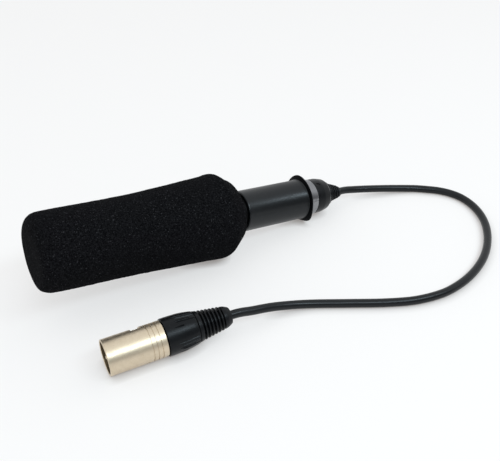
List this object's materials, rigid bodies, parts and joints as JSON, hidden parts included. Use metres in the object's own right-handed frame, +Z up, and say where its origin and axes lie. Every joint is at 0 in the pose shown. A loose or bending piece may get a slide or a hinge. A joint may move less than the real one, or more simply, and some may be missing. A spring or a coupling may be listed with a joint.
{
  "type": "electret microphone",
  "caption": "Short directional electret microphone with a foam windscreen, a rubber holder sleeve with a stop flange, a rear cap, a short cable and a three-pin plug.",
  "frame": {"origin": "centre of the lying microphone's footprint, on the table, counted without the cable and plug", "axes": "+X runs along the microphone's flat direction from its foam front to its cable end, +Z is up, and the plug lies on the -Y side"},
  "size_m": [0.2819, 0.1358, 0.0617],
  "materials": {
    "foam": "matte open-cell foam",
    "sleeve_rubber": "satin",
    "slotted_metal": "black anodised",
    "black_metal": "satin black",
    "label_metal": "satin silver",
    "nickel": "satin warm nickel",
    "brass": "turned",
    "steel": "satin",
    "film": "metallised film",
    "cloth": "woven",
    "board": "solder mask",
    "insulator": "matte",
    "black_plastic": "satin",
    "black_rubber": "satin",
    "cable_jacket": "satin",
    "wire_red": "satin",
    "wire_white": "satin",
    "wire_black": "satin"
  },
  "bodies": {
    "microphone": {"holder_sleeve": "sleeve_rubber", "slotted_tube": "slotted_metal", "body_tube": "black_metal", "front_cap": "black_metal", "label_ring": "label_metal", "plug_shell": "nickel", "plug_pin_1": "nickel", "plug_pin_2": "nickel", "plug_pin_3": "nickel", "capsule_housing": "brass", "diaphragm_ring": "brass", "back_plate": "brass", "contact_pin": "brass", "capsule_retainer": "brass", "front_gauze": "steel", "transformer": "steel", "transistor": "steel", "cable_clamp": "steel", "cap_screw": "steel", "diaphragm": "film", "cloth_liner": "cloth", "circuit_board": "board", "spacer_ring": "insulator", "capsule_insulator": "insulator", "front_board_holder": "insulator", "rear_board_holder": "insulator", "resistor_1": "insulator", "resistor_2": "insulator", "rear_cap": "black_plastic", "plug_insert": "black_plastic", "plug_chuck": "black_plastic", "capacitor_1": "black_plastic", "capacitor_2": "black_plastic", "cable_boot": "black_rubber", "cable": "cable_jacket", "cable_tail": "cable_jacket", "plug_cable_tail": "cable_jacket", "conductor_hot": "wire_red", "plug_conductor_1": "wire_red", "capsule_lead": "wire_white", "conductor_cold": "wire_white", "plug_conductor_2": "wire_white", "conductor_shield": "wire_black", "plug_conductor_3": "wire_black"},
    "windscreen": {"foam_windscreen": "foam"},
    "plug_boot": {"plug_boot": "black_rubber"},
    "plug_bushing": {"plug_bushing": "black_plastic"}
  },
  "joints": [
    {"name": "windscreen_pull", "type": "slide", "parent": "microphone", "child": "windscreen", "axis": [-0.9887, 0, 0.1497], "range_m": [0, 0.12]},
    {"name": "plug_boot_travel", "type": "slide", "parent": "microphone", "child": "plug_boot", "axis": [0.9923, -0.1227, 0.0175], "range_m": [0, 0.0031]},
    {"name": "plug_bushing_turn", "type": "hinge", "parent": "plug_boot", "child": "plug_bushing", "pos_m": [-0.0597, -0.0609, 0.01005], "axis": [0.9923, -0.1227, 0.0175], "range_deg": [0, 720]}
  ],
  "couplings": [
    {"joint": "plug_boot_travel", "follows": "plug_bushing_turn", "m_per_rad": 0.00023873}
  ]
}
